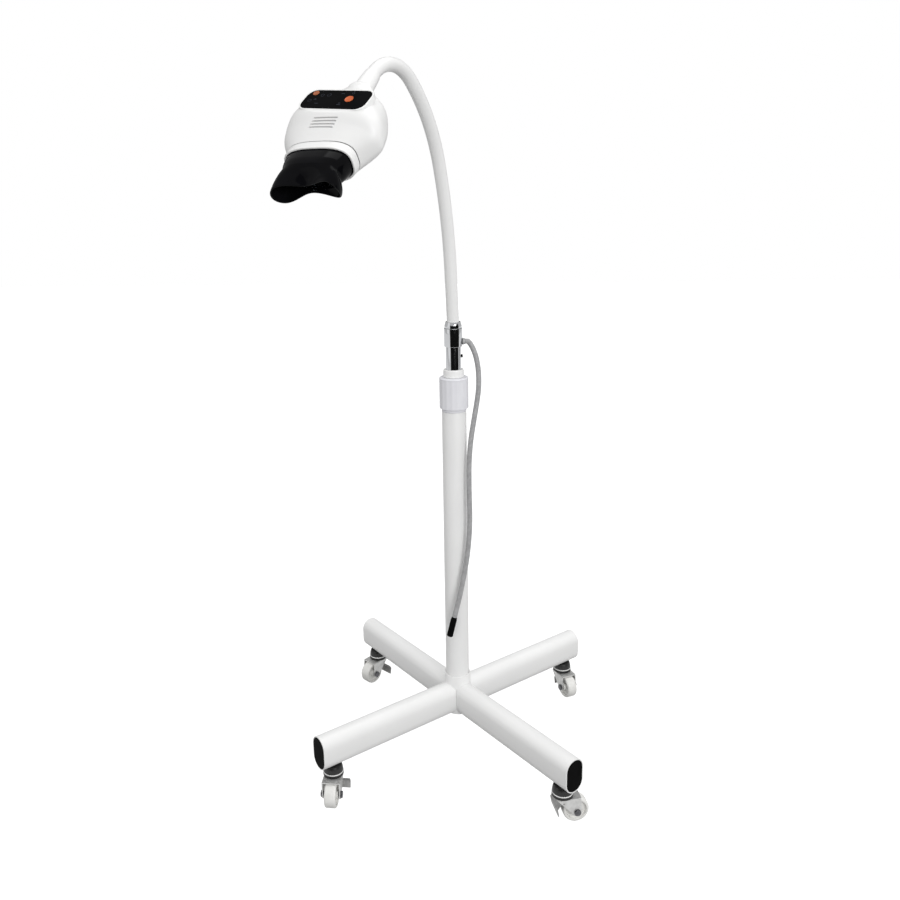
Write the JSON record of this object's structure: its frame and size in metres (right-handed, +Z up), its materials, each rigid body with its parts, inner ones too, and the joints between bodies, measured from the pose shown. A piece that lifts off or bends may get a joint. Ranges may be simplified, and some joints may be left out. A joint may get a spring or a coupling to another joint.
{
  "type": "teeth whitening lamp",
  "caption": "Teeth whitening lamp on a castor stand: telescopic column, curved neck, pod head with control panel and wrap-round mouthpiece.",
  "frame": {"origin": "on the floor under the middle of the lamp's bounding box, leaving out the free hose", "axes": "+Z up along the column; the arms lie on the diagonals of +X and +Y; the head hangs out over -Y and a little -X"},
  "size_m": [0.5152, 0.6342, 1.3446],
  "materials": {
    "white_paint": "white powder coat, satin",
    "white_plastic": "white moulded plastic, soft gloss",
    "collar_plastic": "off-white moulded plastic",
    "black_gloss": "black, glossy",
    "black_plastic": "black, satin",
    "chrome": "bright chrome plate",
    "zinc_steel": "zinc-plated sheet steel",
    "aluminium": "bare extrusion",
    "wheel_nylon": "off-white nylon",
    "grey_hose": "grey, satin",
    "orange_plastic": "orange, soft gloss",
    "board_green": "green circuit board",
    "board_white": "white, matt",
    "clear_window": "clear acrylic, polished"
  },
  "bodies": {
    "stand": {"base_socket": "white_paint", "arm_front_left": "white_paint", "arm_front_right": "white_paint", "arm_back_right": "white_paint", "arm_back_left": "white_paint", "arm_cap_front_left": "black_plastic", "arm_cap_front_right": "black_plastic", "arm_cap_back_right": "black_plastic", "arm_cap_back_left": "black_plastic", "castor_front_left_top": "black_plastic", "castor_front_right_top": "black_plastic", "castor_back_right_top": "black_plastic", "castor_back_left_top": "black_plastic", "column_tube": "white_paint", "column_bush": "white_plastic"},
    "height_collar": {"height_collar": "collar_plastic"},
    "mast": {"mast_tube": "chrome", "mast_guide": "black_plastic", "mast_sleeve": "chrome", "neck_nut": "chrome", "stop_screw": "black_plastic", "hose_grommet": "collar_plastic", "hose": "grey_hose", "hose_plug": "black_plastic"},
    "neck": {"neck_tube": "white_paint", "neck_boot": "white_plastic"},
    "head": {"head_shell_top": "white_plastic", "head_shell_bottom": "white_plastic", "head_bush": "zinc_steel", "front_bezel": "white_plastic", "light_window": "clear_window", "light_reflector": "board_white", "led_board": "board_white", "heat_sink": "aluminium", "fan_frame": "black_plastic", "control_panel": "black_gloss", "control_board": "board_green", "mouthpiece": "black_gloss"},
    "fan": {"fan_rotor": "black_plastic"},
    "power_button": {"power_button": "orange_plastic"},
    "start_button": {"start_button": "orange_plastic"},
    "castor_front_left_fork": {"castor_front_left_fork": "zinc_steel", "castor_front_left_axle": "zinc_steel"},
    "castor_front_left_wheel": {"castor_front_left_wheel": "wheel_nylon"},
    "castor_front_left_brake": {"castor_front_left_brake": "zinc_steel"},
    "castor_front_right_fork": {"castor_front_right_fork": "zinc_steel", "castor_front_right_axle": "zinc_steel"},
    "castor_front_right_wheel": {"castor_front_right_wheel": "wheel_nylon"},
    "castor_front_right_brake": {"castor_front_right_brake": "zinc_steel"},
    "castor_back_right_fork": {"castor_back_right_fork": "zinc_steel", "castor_back_right_axle": "zinc_steel"},
    "castor_back_right_wheel": {"castor_back_right_wheel": "wheel_nylon"},
    "castor_back_right_brake": {"castor_back_right_brake": "zinc_steel"},
    "castor_back_left_fork": {"castor_back_left_fork": "zinc_steel", "castor_back_left_axle": "zinc_steel"},
    "castor_back_left_wheel": {"castor_back_left_wheel": "wheel_nylon"},
    "castor_back_left_brake": {"castor_back_left_brake": "zinc_steel"}
  },
  "joints": [
    {"name": "mast_slide", "type": "slide", "parent": "stand", "child": "mast", "axis": [0, 0, 1], "range_m": [-0.02, 0.25]},
    {"name": "collar_twist", "type": "hinge", "parent": "stand", "child": "height_collar", "pos_m": [-0.00613, 0.06565, 0.75], "axis": [0, 0, 1], "range_deg": [-45, 45]},
    {"name": "neck_swivel", "type": "hinge", "parent": "mast", "child": "neck", "pos_m": [-0.00613, 0.06565, 0.87], "axis": [0, 0, 1], "range_deg": [-150, 150]},
    {"name": "head_swivel", "type": "hinge", "parent": "neck", "child": "head", "pos_m": [-0.11535, -0.1567, 1.28974], "axis": [-0.3224, -0.6564, -0.682], "range_deg": [-60, 60]},
    {"name": "fan_spin", "type": "hinge", "parent": "head", "child": "fan", "pos_m": [-0.16152, -0.2495, 1.18898], "axis": [-0.2425, -0.8127, -0.5298], "continuous": true},
    {"name": "power_button_press", "type": "slide", "parent": "head", "child": "power_button", "axis": [0.1559, 0.5925, -0.7904], "range_m": [0, 0.001], "stiffness_N_per_m": 400},
    {"name": "start_button_press", "type": "slide", "parent": "head", "child": "start_button", "axis": [0.1559, 0.5925, -0.7904], "range_m": [0, 0.001], "stiffness_N_per_m": 400},
    {"name": "castor_front_left_swivel", "type": "hinge", "parent": "stand", "child": "castor_front_left_fork", "pos_m": [-0.22179, -0.15002, 0], "axis": [0, 0, 1], "continuous": true},
    {"name": "castor_front_left_roll", "type": "hinge", "parent": "castor_front_left_fork", "child": "castor_front_left_wheel", "pos_m": [-0.22056, -0.17358, 0.0245], "axis": [0.9986, 0.0523, 0], "continuous": true},
    {"name": "castor_front_left_brake_press", "type": "hinge", "parent": "castor_front_left_fork", "child": "castor_front_left_brake", "pos_m": [-0.2219, -0.14802, 0.0449], "axis": [-0.9986, -0.0523, 0], "range_deg": [0, 16]},
    {"name": "castor_front_right_swivel", "type": "hinge", "parent": "stand", "child": "castor_front_right_fork", "pos_m": [0.20954, -0.15002, 0], "axis": [0, 0, 1], "continuous": true},
    {"name": "castor_front_right_roll", "type": "hinge", "parent": "castor_front_right_fork", "child": "castor_front_right_wheel", "pos_m": [0.23199, -0.14272, 0.0245], "axis": [-0.309, 0.9511, 0], "continuous": true},
    {"name": "castor_front_right_brake_press", "type": "hinge", "parent": "castor_front_right_fork", "child": "castor_front_right_brake", "pos_m": [0.20764, -0.15063, 0.0449], "axis": [0.309, -0.9511, 0], "range_deg": [0, 16]},
    {"name": "castor_back_right_swivel", "type": "hinge", "parent": "stand", "child": "castor_back_right_fork", "pos_m": [0.20954, 0.28132, 0], "axis": [0, 0, 1], "continuous": true},
    {"name": "castor_back_right_roll", "type": "hinge", "parent": "castor_back_right_fork", "child": "castor_back_right_wheel", "pos_m": [0.22205, 0.26131, 0.0245], "axis": [0.848, 0.5299, 0], "continuous": true},
    {"name": "castor_back_right_brake_press", "type": "hinge", "parent": "castor_back_right_fork", "child": "castor_back_right_brake", "pos_m": [0.20848, 0.28302, 0.0449], "axis": [-0.848, -0.5299, 0], "range_deg": [0, 16]},
    {"name": "castor_back_left_swivel", "type": "hinge", "parent": "stand", "child": "castor_back_left_fork", "pos_m": [-0.22179, 0.28132, 0], "axis": [0, 0, 1], "continuous": true},
    {"name": "castor_back_left_roll", "type": "hinge", "parent": "castor_back_left_fork", "child": "castor_back_left_wheel", "pos_m": [-0.23499, 0.26175, 0.0245], "axis": [0.829, -0.5592, 0], "continuous": true},
    {"name": "castor_back_left_brake_press", "type": "hinge", "parent": "castor_back_left_fork", "child": "castor_back_left_brake", "pos_m": [-0.22068, 0.28298, 0.0449], "axis": [-0.829, 0.5592, 0], "range_deg": [0, 16]}
  ]
}
